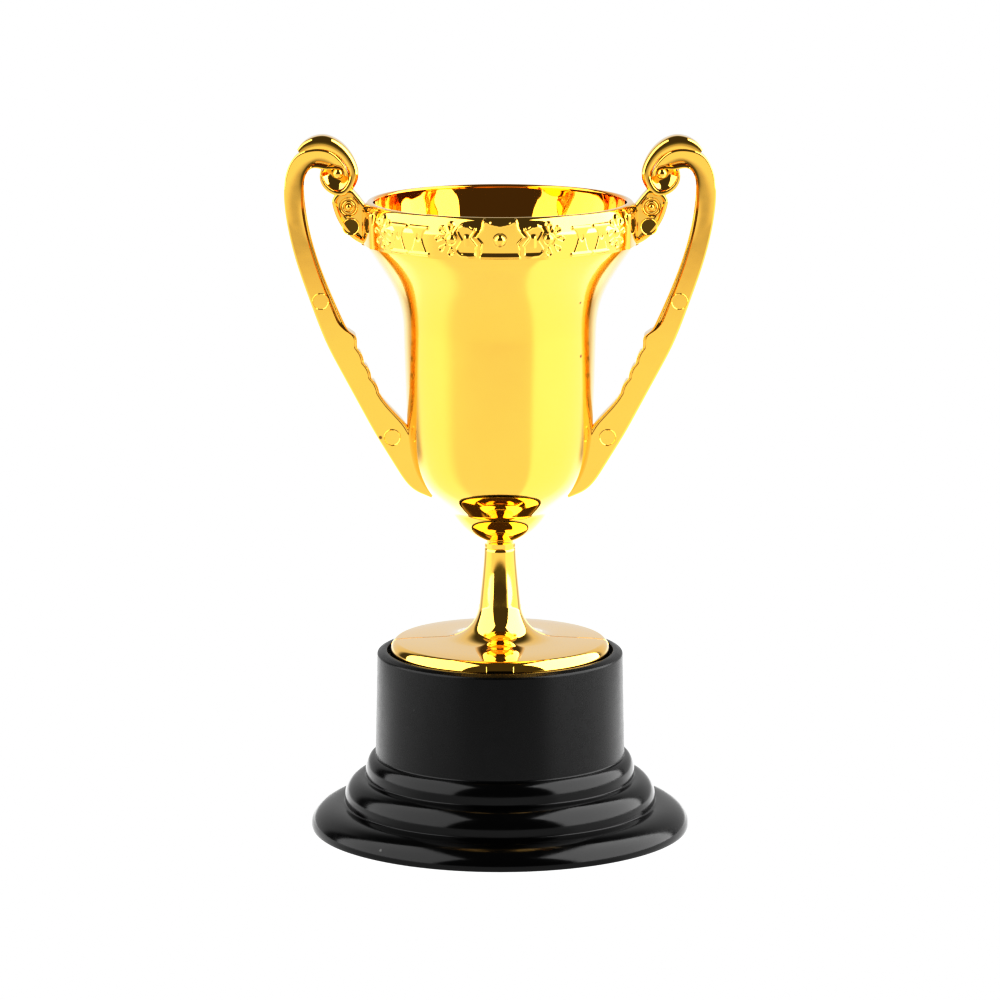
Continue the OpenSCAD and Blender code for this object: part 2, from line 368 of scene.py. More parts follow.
def zinc_steel():
    """Bright zinc plate on the screw and its washer."""
    s = Shader("zinc_steel")
    s.link(s.mix(s.noise(900, 3), (0.55, 0.56, 0.55), (0.72, 0.72, 0.69)), "Base Color")
    s.link(s.ramp(s.noise(1400, 3), (0.3, 0.22), (0.7, 0.38)), "Roughness")
    s.set(Metallic=1.0)
    s.bump(s.noise(1800, 2), 0.00002)
    return s.material


def foam():
    """Closed-cell foam, with its fine open skin."""
    s = Shader("foam_pad")
    s.link(s.mix(s.noise(1500, 4), (0.010, 0.010, 0.012), (0.032, 0.032, 0.034)), "Base Color")
    s.link(s.ramp(s.noise(900, 2), (0.3, 0.80), (0.7, 0.95)), "Roughness")
    s.bump(s.noise(2600, 4), 0.00025)
    return s.material


GOLD = gold_plating()
GOLD_SATIN_PAINTED_SHADE = gold_plating(satin=True)
BLACK = black_plastic()
ZINC = zinc_steel()
FOAM = foam()


def finish_piece(piece, material, node):
    """Gives a new piece its material and its place in the frame."""
    piece.data.materials.append(material)
    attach(piece, "root")
    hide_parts(node)


# ---------------------------------------------------------------- bowl

FLARE = (22.6, 104.5)        # where the flare under the band starts to round in to it
BAND_LOW = (24.30, 107.6)    # the band leans out a little, up to BAND_R
BAND_INNER = (20.6, 105.5)   # foot of the band's inner wall, thicker here than in the CAD
BAND_TOP = [(23.3, LIP_Z), (23.75, LIP_Z - 0.25), (24.1, 113.3), (24.3, 112.4), (BAND_R, 111.2)]


def bowl_outside():
    """From the socket under the bowl, up the outside, to the lip's outer edge."""
    up = bezier((NECK_R, NECK_Z), (NECK_R, NECK_Z + 0.6), (6.9, 53.6), SHOULDER, 30) \
        + bezier(SHOULDER, (14.5, 62.8), (16.35, 64.6), BODY_LOW, 64) \
        + bezier(BODY_LOW, (17.0, 81), (WAIST_R - 0.15, 85), (WAIST_R, WAIST_Z), 40) \
        + bezier((WAIST_R, WAIST_Z), (WAIST_R + 0.15, 97.3), (19.6, 100.0), FLARE, 48) \
        + bezier(FLARE, (23.2, 105.4), (24.0, 106.6), BAND_LOW, 16)
    socket = rounded([(0, SOCKET_TOP), (SOCKET_R, SOCKET_TOP), (SOCKET_R, JOINT_Z), (NECK_R, JOINT_Z),
                      (NECK_R, NECK_Z - 0.3)], 0.12)
    return socket + up + spline([BAND_LOW, *BAND_TOP[::-1]], 24).tolist()


def bowl_inside():
    """From the lip's inner edge down to the floor on the axis."""
    waist, low = (WAIST_R - WALL, WAIST_Z), (BODY_LOW[0] - WALL, BODY_LOW[1])
    down = bezier((MOUTH_R, LIP_Z - 0.5), (22.3, 111.6), (21.6, 108.6), BAND_INNER, 24) \
        + bezier(BAND_INNER, (19.2, 101.2), (waist[0] + 0.15, 98), waist, 36) \
        + bezier(waist, (waist[0] - 0.15, 85), (17.0 - WALL, 81), low, 26) \
        + bezier(low, (15, 62), (8, FLOOR_Z), (0, FLOOR_Z), 44)
    return down + [[0, FLOOR_Z]]


DRAW_WAVES = (11, 17, 23, 31, 41, 53)        # waves round the cup that make up its draw lines


def make_bowl():
    lip = rounded([(23.3, LIP_Z), (MOUTH_R + 0.25, LIP_Z), (MOUTH_R, LIP_Z - 0.3), (MOUTH_R, LIP_Z - 0.5)],
                  0.15)
    outside, inside = bowl_outside(), bowl_inside()
    split = len(outside)

    def ripple(rings):
        """Slow waves of the moulding outside, and finer upright draw lines on the inner face."""
        turn = np.arctan2(rings[..., 1], rings[..., 0])
        z = rings[..., 2]
        slow = np.sin(5 * turn + 0.13 * z) + 0.8 * np.sin(9 * turn - 0.31 * z + 1.0) \
            + 0.6 * np.sin(3 * turn + 0.55 * z)
        fine = sum(np.sin(n * turn + n * n + 0.9 * np.sin(0.21 * z + n)) / n for n in DRAW_WAVES)
        inner = (np.arange(len(rings)) >= split)[:, None]
        draw = 0.018 * slow + 0.30 * fine + 0.010 * np.sin(41 * turn + 0.9 * z)
        wave = np.where(inner, draw, 0.006 * slow)
        fade = smoothstep(z, 60, 70) * (1 - smoothstep(z, 112, 114))
        scale = 1 + fade * wave / np.maximum(np.hypot(rings[..., 0], rings[..., 1]), 1)
        return np.stack([rings[..., 0] * scale, rings[..., 1] * scale, z], -1)

    bowl = add_lathe("gold_bowl", outside + lip[1:-1] + inside, 240, ripple=ripple)
    finish_piece(bowl, GOLD_SATIN_PAINTED_SHADE, "cup_bowl")


# ---------------------------------------------------------------- band ornament
# Its shapes lie on the unrolled band: s runs round the cup from the front, t is the height.

BAND_MID = 110.5
FLOWER_S = (8.75, 24.4)
SPOOL_S = (15.2, 19.85)
SADDLE_S = 28.6
OUTSIDE_FALL = 3.0           # how steeply a motif's edge drops away outside its outline


def polygon_distance(s, t, corners):
    """Signed distance to a closed polygon, negative inside."""
    nearest = np.full(s.shape, 1e9)
    inside = np.ones(s.shape)
    for (x0, y0), (x1, y1) in zip(corners, corners[1:] + corners[:1]):
        ex, ey, wx, wy = x1 - x0, y1 - y0, s - x0, t - y0
        along = np.clip((wx * ex + wy * ey) / (ex * ex + ey * ey), 0, 1)
        nearest = np.minimum(nearest, np.hypot(wx - ex * along, wy - ey * along))
        over = (t >= y0) != (t >= y1)
        slope = ex / ey if ey else 0.0
        inside = np.where(over & (wx < slope * wy), -inside, inside)
    return nearest * inside


def mirrored_outline(half):
    """A whole outline from its right half, listed from the top middle to the bottom middle."""
    return half + [(-x, y) for x, y in half[::-1] if x > 0]


def beaded(distance, bead=0.28, height=0.22, level=0.05):
    """Height of a panel at level, with a rounded bead just inside its outline."""
    wave = height * np.cos(math.pi / 2 * np.clip((distance + bead) / bead, -1, 1)) ** 2
    panel = level * smoothstep(-distance, bead, 2 * bead)
    return np.where(distance > 0, -OUTSIDE_FALL * distance, np.maximum(wave, panel))


def dome(r, radius, height):
    """A round stud, with a fine ring round it."""
    stud = height * np.sqrt(np.clip(1 - (r / radius) ** 2, 0, 1))
    ring = 0.10 * np.cos(math.pi / 2 * np.clip((r - radius - 0.24) / 0.14, -1, 1)) ** 2
    return np.where(r < radius + 0.38, np.maximum(stud, ring), -OUTSIDE_FALL * (r - radius - 0.38))


def cartouche(s, t):
    outline = mirrored_outline([(0, 113.25), (1.5, 113.55), (2.9, 114.35), (3.3, 112.5), (4.5, 110.95),
                                (3.45, 109.8), (3.65, 107.2), (0, 107.2)])
    distance = polygon_distance(s, t, outline)
    height = beaded(distance)
    sill = 0.22 * (1 - smoothstep(t, 107.55, 108.45))      # the panel rises to its lower bead in a slope
    height = np.where(distance < -0.28, np.maximum(height, sill), height)
    return np.maximum(height, dome(np.hypot(s, t - BAND_MID), 0.88, 0.5))


def shield(s, t):
    outline = [(4.75, 112.5), (5.5, 112.95), (6.6, 113.1), (7.4, 112.8), (7.8, 112.05), (7.5, 111.2),
               (7.0, 110.4), (7.45, 109.7), (7.9, 108.9), (7.75, 108.1), (7.0, 107.5), (5.5, 107.3),
               (4.05, 107.4), (3.9, 109.65), (4.95, 110.95), (4.1, 112.1), (4.2, 112.6)]
    distance = polygon_distance(s, t, outline)
    sill = 0.20 * (1 - smoothstep(t, 107.7, 108.4))
    fold = 0.12 * smoothstep(s, 6.45, 5.9) * smoothstep(s, 5.2, 5.85) \
        * smoothstep(t, 109.0, 109.3) * smoothstep(t, 111.6, 110.8)
    height = beaded(distance, 0.26)
    return np.where(distance < -0.26, np.maximum(height, sill) + fold, height)


def flower(s, t, s0, skip=()):
    """Cupped petals round a domed centre."""
    x, y = s - s0, t - BAND_MID
    height = dome(np.hypot(x, y), 0.82, 0.42)
    for k in range(8):
        if k in skip:
            continue
        a = k * math.pi / 4 + math.pi / 2
        along, across = x * math.cos(a) + y * math.sin(a), -x * math.sin(a) + y * math.cos(a)
        share = np.clip((along - 1.6) / 0.8, 0, 1)
        distance = np.hypot(along - 1.6 - share * 0.8, across) - (0.34 + 0.34 * share)
        height = np.maximum(height, beaded(distance, 0.20, 0.20, 0.0))
    return height


def spool(s, t, s0):
    """A waisted bar with a raised flange above and below, and a hollow at its waist."""
    x = s - s0
    web = polygon_distance(x, t, mirrored_outline(
        [(0, 112.2), (1.8, 112.2), (1.25, 111.4), (0.85, 110.4), (1.15, 109.3), (1.9, 107.5), (0, 107.5)]))
    height = np.where(web > 0, -OUTSIDE_FALL * web, 0.16 * smoothstep(-web, 0, 0.22))
    height = height - 0.16 * smoothstep(np.hypot(x / 0.42, (t - 110.5) / 0.75), 1.0, 0.6) * (web < 0)
    for z, half in ((112.2, 1.85), (107.6, 2.0)):
        bar = np.hypot(np.maximum(np.abs(x) - half, 0), t - z) - 0.36
        crest = 0.34 * np.sqrt(np.clip(-bar / 0.36, 0, 1))
        height = np.maximum(height, np.where(bar > 0, -OUTSIDE_FALL * bar, crest))
    return height


def saddle(s, t):
    """The plain pad under each handle, with a rounded rib along its upright edge."""
    rib = 0.45 * np.cos(math.pi / 2 * np.clip((s - SADDLE_S - 0.45) / 0.45, -1, 1)) ** 2
    pad = np.where(s < SADDLE_S, -OUTSIDE_FALL * (SADDLE_S - s), np.maximum(rib, 0.12))
    return pad - 2 * smoothstep(t, 112.9, 113.9)


def band_heights(s, t):
    """Height of the ornament over the band in millimetres; far below it where the band is plain."""
    a = np.abs(s)
    flowers = [flower(a, t, FLOWER_S[0], skip=(1, 2, 3)), flower(a, t, FLOWER_S[1])]
    spools = [spool(a, t, s0) for s0 in SPOOL_S]
    return np.maximum.reduce([cartouche(s, t), shield(a, t), *flowers, *spools, saddle(a, t)])


def make_band():
    """The ornament as one closed ring, whose plain ground lies just under the bowl's own surface."""
    around, up = 1440, 58
    turn = np.linspace(0, 2 * math.pi, around, endpoint=False)
    low_t, top_t = 106.9, LIP_Z - 0.12
    t = np.linspace(low_t, top_t, up)[:, None] + 0 * turn
    half_turn = turn % math.pi - math.pi / 2               # 0 at the front and at the back
    s = half_turn * BAND_R + 0 * t
    skin = np.array([(z, r) for r, z in [(24.25, 106.6), BAND_LOW, *BAND_TOP[::-1]]])
    ground = np.interp(t, skin[:, 0], skin[:, 1]) - 0.05
    face = BAND_LOW[0] + (t - BAND_LOW[1]) * 0.028 - 0.9 * smoothstep(t, 113.3, 114.5) ** 2
    radius = np.maximum(ground, face + band_heights(s, t))
    front = np.stack([radius * np.cos(turn), radius * np.sin(turn), t], -1)
    back_r = np.full((2, 1), MOUTH_R + 0.5)
    back_z = np.array([[top_t], [low_t]])
    back = np.stack([back_r * np.cos(turn), back_r * np.sin(turn), back_z + 0 * turn], -1)
    rings = np.concatenate([front, back])
    faces = grid_faces(len(rings), around, wrap_rows=True)
    band = add_mesh("gold_band_relief", rings.reshape(-1, 3), faces, 60)
    finish_piece(band, GOLD, "cup_bowl")


# ---------------------------------------------------------------- handles

def section(width, strip, wall, crown, crown_at):
    """One closed cross-section of a handle: offsets from its outer edge, and depths from front to back.

    strip is the width of the lower step along the inner edge, and wall that of the slope down to it.
    crown is how far the face falls away at its edges, from its middle line at the share crown_at of
    the width. Below 0 the edges rise.
    """
    t = HANDLE_T / 2
    edge = min(0.5, 0.25 * width)
    face_end = width - strip - wall
    drop = 0.85 * wall
    curl = 0.6 * strip
    floor = 0.5 * drop                                     # the strip stands halfway up from the groove
    out = [(edge * (1 - math.cos(a)), t - edge * (1 - math.sin(a)))
           for a in np.linspace(0, math.pi / 2, 7)]
    out += [(e, t) for e in np.linspace(edge + 0.05, face_end - 0.04, 9)]
    out += [(face_end, t), (face_end + 0.03, t - 0.06 * drop), (face_end + 0.35 * wall, t - 0.97 * drop)]
    out += [(face_end + 0.42 * wall, t - drop), (face_end + 0.62 * wall, t - drop)]
    out += [(face_end + wall - 0.02, t - 0.55 * drop), (face_end + wall, t - floor)]
    out += [(width - curl, t - floor)]
    out += [(width - curl * (1 - math.sin(a)), t - floor - curl * (1 - math.cos(a)))
            for a in np.linspace(0.1, math.pi / 2, 6)]
    half = width * max(crown_at, 1 - crown_at)
    steep = 4 if crown > 0 else 3
    front = [(e, -(y - crown * min(abs(e - crown_at * width) / half, 1.0) ** steep)) for e, y in out]
    return np.array(front + [(e, -y) for e, y in front[::-1]])


def swell(z):
    """The handle thickens a little towards its top."""
    return 1 + 0.0002 * np.maximum(z - 106, 0) ** 2


def ribbon(parts, outer, inner, **shape):
    """Sweeps the cross-section along a strip between two edges; ends are closed by a fan."""
    rings = []
    for k, (o, i) in enumerate(zip(outer, inner)):
        width = float(np.linalg.norm(i - o))
        across = (i - o) / width
        loop = section(width, **{name: float(values[k]) for name, values in shape.items()})
        u = o[0] + across[0] * loop[:, 0]
        z = o[1] + across[1] * loop[:, 0]
        rings.append(np.stack([u, loop[:, 1] * swell(z), z], 1))
    rings = np.array(rings)
    rows, cols = rings.shape[:2]
    parts.add(rings, capped_faces(rows, cols))


def slab(parts, outline, half_t, bevel, rim, sunk):
    """A flat plate with rounded edges, a rim and a slightly sunk face, on both sides."""
    outline = np.array(outline, float)
    ahead, behind = np.roll(outline, -1, 0), np.roll(outline, 1, 0)
    tangent = (ahead - behind) / np.linalg.norm(ahead - behind, axis=1)[:, None]
    normal = np.stack([tangent[:, 1], -tangent[:, 0]], 1)
    area = np.sum(outline[:, 0] * ahead[:, 1] - ahead[:, 0] * outline[:, 1])
    if area < 0:
        normal = -normal
    levels = [(bevel * (1 - math.cos(a)), half_t - bevel * (1 - math.sin(a)))
              for a in np.linspace(0, math.pi / 2, 6)]
    levels += [(rim, half_t), (rim + 0.12, half_t - 0.6 * sunk), (rim + 0.22, half_t - sunk)]
    rings = []
    for inset, y in levels:
        u, z = (outline - normal * inset).T
        rings.append(np.stack([u, np.full(len(outline), -y), z], 1))
    rings += [r * (1, -1, 1) for r in rings[::-1]]
    # front face first, then over the edge to the back face
    order = rings[:len(levels)][::-1] + rings[len(levels):][::-1]
    order = np.array(order)
    order[..., 1] *= 1 + 0.010 * (order[..., 2] - 110)     # it is thicker towards the top
    rows, cols = len(order), len(outline)
    parts.add(order, capped_faces(rows, cols))


def turned(parts, centre, profile, face, segments=48, tilt=0.0):
    """A small turned ornament on the front (-1) or back (1) face. profile is (radius, height).

    tilt leans it back: its upper side sinks by tilt times its height over the centre.
    """
    rings = lathe_points(profile, segments)
    u, z = centre[0] + rings[..., 0], centre[1] + rings[..., 1]
    y = face * (HANDLE_T / 2 + rings[..., 2] - tilt * rings[..., 1])
    parts.add(np.stack([u, y, z], -1), grid_faces(len(profile), segments))


# Stations of the arm from the tail up and over into the scroll: outer edge, then inner edge
ARM = [((12.3, 60.9), (12.0, 61.9)),
       ((15.8, 62.6), (13.2, 65.2)),
       ((18.6, 66.3), (14.6, 69.2)),
       ((20.8, 69.9), (15.9, 72.4)),
       ((22.8, 73.3), (17.2, 74.6)),
       ((25.7, 78.7), (20.8, 78.7)),
       ((28.9, 84.7), (23.9, 84.5)),
       ((31.3, 89.6), (26.7, 90.2)),
       ((34.0, 96.8), (29.9, 97.3)),
       ((36.4, 104.0), (32.6, 104.5)),
       ((37.9, 110.6), (34.2, 111.0)),
       ((38.38, 116.2), (34.8, 116.6)),
       ((37.7, 120.3), (34.5, 119.0)),
       ((35.9, 122.9), (33.6, 120.2)),
       ((33.0, 123.8), (32.3, 120.3)),
       ((30.2, 123.4), (31.0, 120.1)),
       ((28.4, 122.0), (29.9, 120.2)),
       ((27.4, 120.4), (28.6, 120.0)),
       ((27.2, 119.0), (28.2, 119.3))]

# Stations of the leaf that starts on the arm's shoulder and curls round the stud
LEAF = [((35.95, 123.7), (35.35, 122.9)),
        ((34.7, 125.1), (34.0, 123.4)),
        ((31.5, 126.15), (31.7, 123.6)),
        ((28.3, 124.9), (29.2, 122.8)),
        ((26.1, 122.4), (27.7, 121.3)),
        ((25.1, 119.4), (26.9, 119.3)),
        ((25.8, 117.0), (27.3, 117.6)),
        ((27.7, 115.3), (28.3, 116.5)),
        ((30.2, 115.8), (29.8, 116.8)),
        ((31.8, 117.6), (31.0, 118.0)),
        ((32.05, 119.2), (31.4, 119.1)),
        ((31.8, 120.2), (31.4, 119.9))]

DISH = ((29.25, 118.85), 2.35)      # the hollow of the scroll, and its radius
STUD_R = 1.0


def scallops(inner):
    """Moves the arm's inner edge out into its bump and three waves."""
    z = inner[:, 1]
    bump = 0.85 * np.exp(-((z - 89.6) / 1.2) ** 2)
    wave = 0.34 * np.abs(np.sin((z - 79.8) / 8.2 * 3 * math.pi)) \
        * smoothstep(z, 79.0, 80.4) * (1 - smoothstep(z, 87.4, 88.6))
    return inner + (bump + wave)[:, None] * np.array((-0.87, 0.49))


def add_arm(parts):
    n = 260
    share = np.linspace(0, 1, n)
    outer = spline([edge for edge, _ in ARM], n)
    inner = scallops(spline([edge for _, edge in ARM], n))
    z = inner[:, 1]
    high = smoothstep(z, 89.8, 92.5)                       # the step widens above the bump
    arch = smoothstep(share, 0.70, 0.80)
    ribbon(parts, outer, inner,
           strip=0.28 * smoothstep(z, 70, 73.5) + 0.10 + 0.50 * high - 0.1 * arch,
           wall=0.16 + 0.46 * high + 0.30 * arch * (1 - smoothstep(share, 0.9, 1.0)),
           crown=0.05 * smoothstep(z, 106, 114) * (1 - arch) - 0.30 * arch,
           crown_at=np.full(n, 0.50))


def add_leaf(parts):
    n = 160
    share = np.linspace(0, 1, n)
    outer = spline([edge for edge, _ in LEAF], n)
    inner = spline([edge for _, edge in LEAF], n)
    ribbon(parts, outer, inner, strip=np.full(n, 0.12), wall=np.full(n, 0.12),
           crown=0.15 + 0.50 * smoothstep(share, 0.0, 0.25),
           crown_at=0.60 - 0.08 * smoothstep(share, 0.3, 0.6))


def add_lug(parts):
    """The plate that joins the scroll to the bowl, with the rosette on it."""
    lug = [(23.7, 106.5)] + bezier((24.5, 106.8), (27.4, 108.0), (29.3, 111.0), (29.85, 114.3), 16) \
        + bezier((29.85, 114.3), (29.8, 115.6), (28.2, 116.8), (26.3, 116.6), 8) \
        + [(26.1, 116.45), (25.1, 115.3), (24.1, 114.0), (23.7, 113.4)]
    slab(parts, lug, HANDLE_T / 2 - 0.1, 0.35, 0.62, 0.42)


def add_dish(parts):
    """The hollow round the stud. Its outer ring is wider than the stud and set off from it."""
    turn = np.linspace(0, 2 * math.pi, 56, endpoint=False)
    ring = np.stack([np.cos(turn), np.sin(turn)], 1)
    (cu, cz), r = DISH
    for face in (-1, 1):
        rows = []
        for k, depth in ((0, 0.16), (0.08, 0.24), (0.3, 0.52), (0.6, 0.86), (0.85, 1.0), (1, 1.04)):
            centre = np.array((cu, cz)) * (1 - k) + np.array(STUD) * k
            around = centre + ring * (r * (1 - k) + STUD_R * 0.9 * k)
            y = np.full(len(turn), face * (HANDLE_T / 2 - depth))
            rows.append(np.column_stack([around[:, 0], y, around[:, 1]]))
        for depth in (HANDLE_T / 2 - 0.2, HANDLE_T / 2 - 0.2):
            rows.append(rows[-1] * (1, 0, 1) + (0, face * 0.2, 0))
        rows[-1] = np.column_stack([cu + ring[:, 0] * r, np.full(len(turn), face * 0.2), cz + ring[:, 1] * r])
        parts.add(np.array(rows), grid_faces(len(rows), len(turn), wrap_rows=True))


def add_studs(parts):
    """The scroll's stud and the rosette, on both faces."""
    bead = [(STUD_R * math.sin(a), STUD_R * 0.85 * math.cos(a) - 0.45)
            for a in np.linspace(0, math.pi / 2, 10)]
    stud = bead + [(STUD_R, -1.4), (0, -1.4)]
    rosette = [(0, 0.10), (0.25, 0.07), (0.42, -0.02), (0.53, -0.16), (0.57, -0.32), (0.66, -0.34),
               (0.74, -0.22), (0.86, -0.15), (1.02, -0.15), (1.14, -0.22), (1.22, -0.36), (1.32, -0.36),
               (1.40, -0.24), (1.50, -0.18), (1.62, -0.18), (1.72, -0.28), (1.76, -0.7), (0, -0.7)]
    for face in (-1, 1):
        turned(parts, STUD, stud, face)
        turned(parts, ROSETTE, rosette, face)


def add_ejector_marks(parts):
    """The ejector pins' round marks, on the front face only: a fine ring round a flat."""
    for (u, w), level in zip(EJECTORS, (-0.16, 0.02, 0.02)):
        mark = [(0, level), (1.30, level), (1.33, level), (1.38, level + 0.05), (1.44, level + 0.09),
                (1.50, level + 0.05), (1.53, level - 0.02), (1.53, level - 0.5), (0, level - 0.5)]
        turned(parts, (u, w), mark, -1, 64, tilt=0.04 if u < 27 and w > 100 else 0.0)


def make_handles():
    parts = Parts()
    for add_detail in (add_arm, add_leaf, add_lug, add_dish, add_studs, add_ejector_marks):
        add_detail(parts)
    finish_piece(parts.make("gold_handle_right"), GOLD, "handle_right")
    finish_piece(parts.make("gold_handle_left", mirrored=True), GOLD, "handle_left")


# ---------------------------------------------------------------- stem and foot

STEM_LOW = (3.72, 41)                # where the stem starts to spread into the disc
DISC_INNER = (9.8, DISC_Z + 0.5)
DISC_OUTER = (18.5, DISC_Z)
DISC_RIM = (DISC_R, DISC_Z - DISC_EDGE)

STEM_CURVE = bezier((STEM_R, JOINT_Z - 0.15), (2.95, 47.8), (3.36, 44.6), STEM_LOW, 24) \
    + bezier(STEM_LOW, (4.0, 38.2), (5.6, 35.4), DISC_INNER, 36) \
    + bezier(DISC_INNER, (13, DISC_Z + 0.3), (16, DISC_Z + 0.3), DISC_OUTER, 16) \
    + ovolo(DISC_OUTER, DISC_RIM, 24)


def make_stem_foot():
    spigot = rounded([(0, SPIGOT_TOP), (SPIGOT_R, SPIGOT_TOP), (SPIGOT_R, JOINT_Z),
                      (STEM_R - 0.1, JOINT_Z), (STEM_R, JOINT_Z - 0.15)], 0.08)
    hollow_r, hollow_z, pilot_r, pilot_top = 18.25, 33, 1.5, 42
    under = rounded([DISC_RIM, (DISC_R - 0.05, RECESS_Z), (hollow_r, RECESS_Z), (hollow_r, hollow_z),
                     (BOSS_R, hollow_z), (BOSS_R, RECESS_Z), (pilot_r, RECESS_Z), (pilot_r, pilot_top),
                     (0, pilot_top)], 0.15)
    foot = add_lathe("gold_stem_foot", spigot[:-1] + STEM_CURVE + under[1:], 256)
    finish_piece(foot, GOLD, "stem_foot")


def make_gate_mark():
    """The cut end of the moulding's feed, a low pad on the front of the disc's edge."""
    half_w, low, top = 2.45, 32.75, 33.8
    rings = []
    for inset, y in ((0, -19.2), (0, -20.0), (0.12, -20.1), (0.3, -20.12)):
        w, z0, z1 = half_w - inset, low + inset, top - inset
        rings.append([(-w, y, z0), (w, y, z0), (w, y + 0.4, z1), (-w, y + 0.4, z1)])
    parts = Parts()
    parts.add(np.array(rings), capped_faces(len(rings), 4))
    finish_piece(parts.make("gold_gate_mark"), GOLD, "stem_foot")


def make_parting_line():
    """The raised line that the two halves of the stem's mould left along X."""
    parts = Parts()
    path = np.array(STEM_CURVE[24:-8])
    half_w, proud = 0.055, 0.03
    tangent = np.gradient(path, axis=0)
    tangent /= np.linalg.norm(tangent, axis=1)[:, None]
    out = np.stack([-tangent[:, 1], tangent[:, 0]], 1)
    for side in (-1, 1):
        rings = []
        for (r, z), (nr, nz) in zip(path, out):
            loop = [(-0.06, -half_w * 1.8), (proud, -half_w * 0.5),
                    (proud, half_w * 0.5), (-0.06, half_w * 1.8)]
            rings.append([(side * (r + nr * h), w, z + nz * h) for h, w in loop])
        parts.add(np.array(rings), capped_faces(len(rings), 4))
    finish_piece(parts.make("gold_parting_line"), GOLD, "stem_foot")


# ---------------------------------------------------------------- base

def make_base():
    rim = rounded([(RIM_R, 31.6), (RIM_R, DRUM_Z + 0.45), (21.2, DRUM_Z + 0.4), (DRUM_R, DRUM_Z - 0.1),
                   (DRUM_R + 0.4, 13.55), (22.7, 13.4)], 0.3, 8)
    outside = rim[:-1] \
        + ovolo((22.72, 13.42), (24.4, 10.5)) \
        + rounded([(24.4, 10.4), (24.36, 9.55), (24.6, 9.4)], 0.10)[1:] \
        + ovolo((24.7, 9.38), (28.2, 5.6)) \
        + rounded([(28.2, 5.5), (28.16, 4.62), (28.4, 4.5)], 0.10)[1:] \
        + ovolo((28.5, 4.48), (BASE_R, 0.7), 22) + [(BASE_R, 0.35), (BASE_R - 0.1, 0.08), (BASE_R - 0.3, 0)]
    roof, hole_r = 29, 1.7
    under = rounded([(BASE_R - 0.3, 0), (BASE_R - 3.0, 0), (BASE_R - 3.0, 2.6), (26.1, 4.2), (22.4, 7.4),
                     (22.4, 9.0), (20.7, 11.4), (DRUM_R - BASE_WALL, roof), (BOSS_R, roof),
                     (BOSS_R, BOSS_LOW), (hole_r, BOSS_LOW), (hole_r, RECESS_Z), (RIM_R, RECESS_Z),
                     (RIM_R, 31.6)], 0.25)
    shell = add_lathe("black_base", outside + under[1:-1], 256, closed=True)
    finish_piece(shell, BLACK, "base_shell")


def make_pad():
    """The foam disc, crowned a little between its rounded edges."""
    r = BASE_R - 3.1
    profile = [(0, PAD_T)] + ovolo((r - 0.4, PAD_T), (r, PAD_T - 0.4), 6) + [(r, 0.35)] \
        + [(r - 0.35 * math.sin(a), 0.35 - 0.35 * (1 - math.cos(a)))
           for a in np.linspace(0.2, math.pi / 2, 6)] \
        + [(r * 0.6, 0.02), (0, 0.05)]
    pad = add_lathe("foam_bottom_pad", profile, 160)
    finish_piece(pad, FOAM, "bottom_pad")


def make_screw():
    """The screw inside the base, with the thread that the CAD leaves out."""
    turns, start, top, core, crest = 12, 21.2, 38.2, 1.15, 1.5
    parts = Parts()
    body = rounded([(0, 19.5), (0.5, 19.0), (2.3, 19.0), (2.9, 20.0), (2.9, start), (core, start),
                    (core, 36.8), (0.1, top), (0, top)], 0.25)
    parts.add(lathe_points(body, 48), grid_faces(len(body), 48))
    steps = turns * 32
    angle = np.linspace(0, turns * 2 * math.pi, steps)
    z0 = np.linspace(start + 0.4, 36.6, steps)
    size = np.minimum(1, np.minimum(np.arange(steps), np.arange(steps)[::-1]) / 24)
    rings = []
    for a, z, k in zip(angle, z0, size):
        loop = [(core - 0.1, -0.42), (core + (crest - core) * k, 0.0), (core - 0.1, 0.42)]
        rings.append([(r * math.cos(a), r * math.sin(a), z + h) for r, h in loop])
    parts.add(np.array(rings), capped_faces(steps, 3))
    finish_piece(parts.make("steel_screw"), ZINC, "base_screw")


def make_washer():
    hole, rim, low, top = 1.6, 3.85, 21.25, 21.95
    profile = rounded([(hole, low), (rim, low), (rim, top), (hole, top), (hole, low)], 0.12)
    washer = add_lathe("steel_washer", profile[:-1], 64, closed=True)
    finish_piece(washer, ZINC, "screw_washer")


# ---------------------------------------------------------------- studio

# Brightness of the room's parts as the trophy reflects them, where 1 is white. They were set
# to give the wanted reflections, and to the camera itself the floor and the room are plain white.
NEAR_FLOOR = 1.0
FAR_FLOOR = 0.15
GAP_FLOOR = 0.60
LEFT_FLOOR = 1.25
RIGHT_FLOOR = 1.32
BEHIND_FLOOR = 1.7
BACKDROP = 0.94
DARK_ROOM = 0.13
BOX_LEFT = 2.4
BOX_RIGHT = 3.7

# Contrast curve: scene brightness in, picture brightness out
GRADE = ((0.04, 0.012), (0.10, 0.050), (0.30, 0.225), (0.60, 0.60), (0.85, 0.93))

# Softboxes: distance of the foot from the trophy, place along Y, size and lean
BOX_X = 0.95
BOX_Y = (-0.36, -0.10)          # left and right
BOX_W = 1.56
BOX_H = 1.5
BOX_LEAN = math.radians(15)

# Camera, in metres: its place, the height it looks at on the trophy's axis, and its lens in mm
CAMERA_AT = (0, -0.8962, 0.2307)
AIM_Z = 0.0601
LENS = 182.46


def make_camera():
    data = bpy.data.cameras.new("camera")
    data.sensor_width = 36
    data.lens = LENS
    data.clip_start = 0.01
    data.clip_end = 20
    camera = bpy.data.objects.new("camera", data)
    bpy.context.collection.objects.link(camera)
    camera.location = CAMERA_AT
    aim = Vector((0, 0, AIM_Z)) - camera.location
    camera.rotation_euler = aim.to_track_quat("-Z", "Y").to_euler()
    bpy.context.scene.camera = camera


